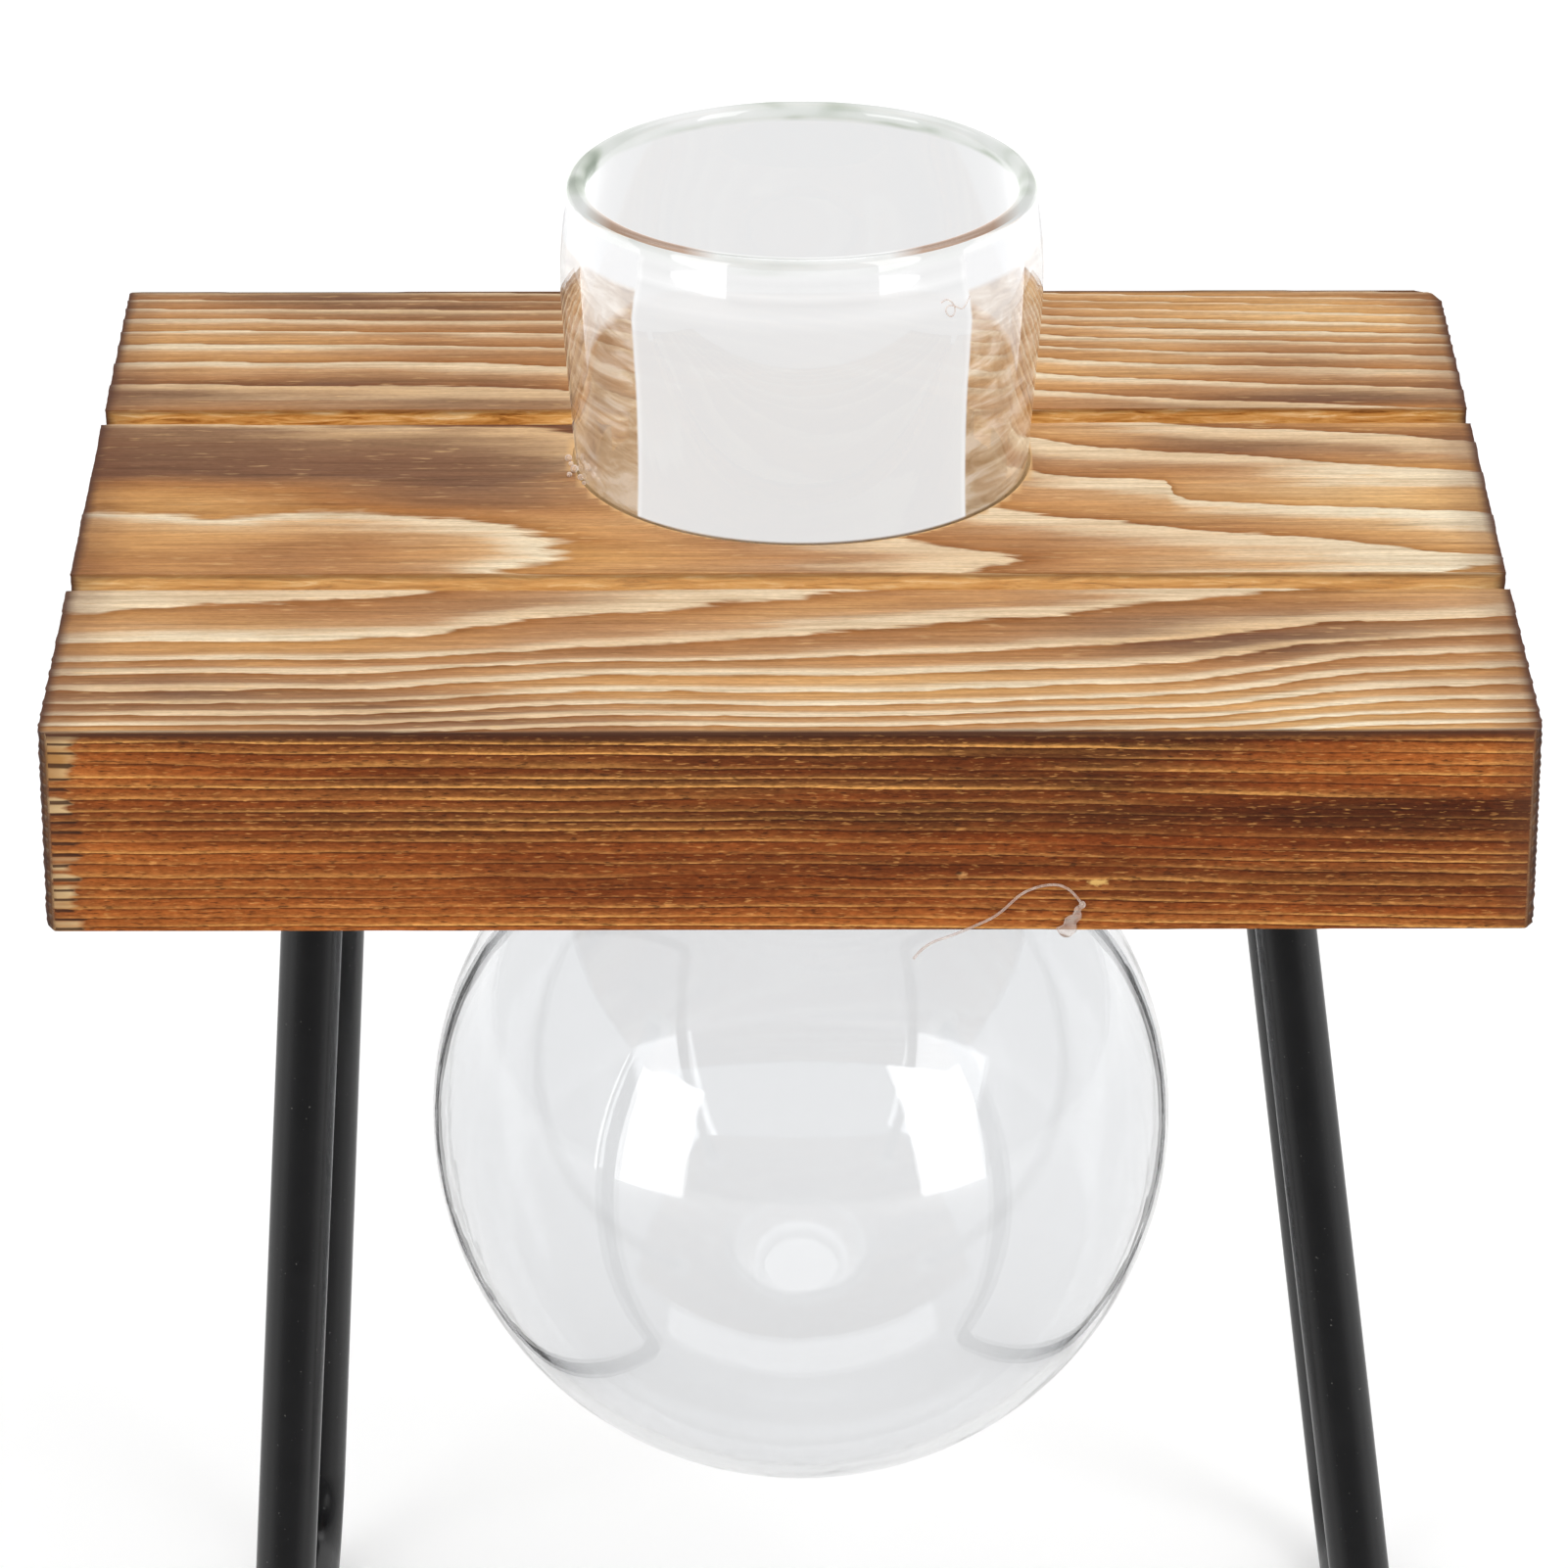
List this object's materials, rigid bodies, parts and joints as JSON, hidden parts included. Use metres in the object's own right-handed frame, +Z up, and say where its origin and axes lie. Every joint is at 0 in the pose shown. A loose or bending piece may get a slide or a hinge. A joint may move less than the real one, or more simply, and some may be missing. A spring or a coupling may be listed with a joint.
{
  "type": "hydroponic vase",
  "caption": "Hydroponic vase: a clear glass globe with an open neck, hung through a grooved, scorched pine board on black wire legs.",
  "frame": {"origin": "on the floor, under the middle of the board's outline, which is the bottom centre of the whole object's box", "axes": "+Z up; -Y is the front, the long face of the board that the picture looks at; +X to the right as seen from the front"},
  "size_m": [0.15, 0.122, 0.1919],
  "materials": {
    "scorched_pine": "torched and brushed, satin on the top face, darker on the edges",
    "clear_glass": "clear, fire-polished lip",
    "black_coated_wire": "semi-gloss black powder coat",
    "hot_melt_glue": "cloudy, slightly glossy"
  },
  "bodies": {
    "root": {"board": "scorched_pine", "glass_vase": "clear_glass", "neck_glue": "hot_melt_glue", "left_leg_frame": "black_coated_wire", "right_leg_frame": "black_coated_wire", "front_left_leg_glue": "hot_melt_glue", "rear_left_leg_glue": "hot_melt_glue", "front_right_leg_glue": "hot_melt_glue", "rear_right_leg_glue": "hot_melt_glue"}
  },
  "joints": []
}
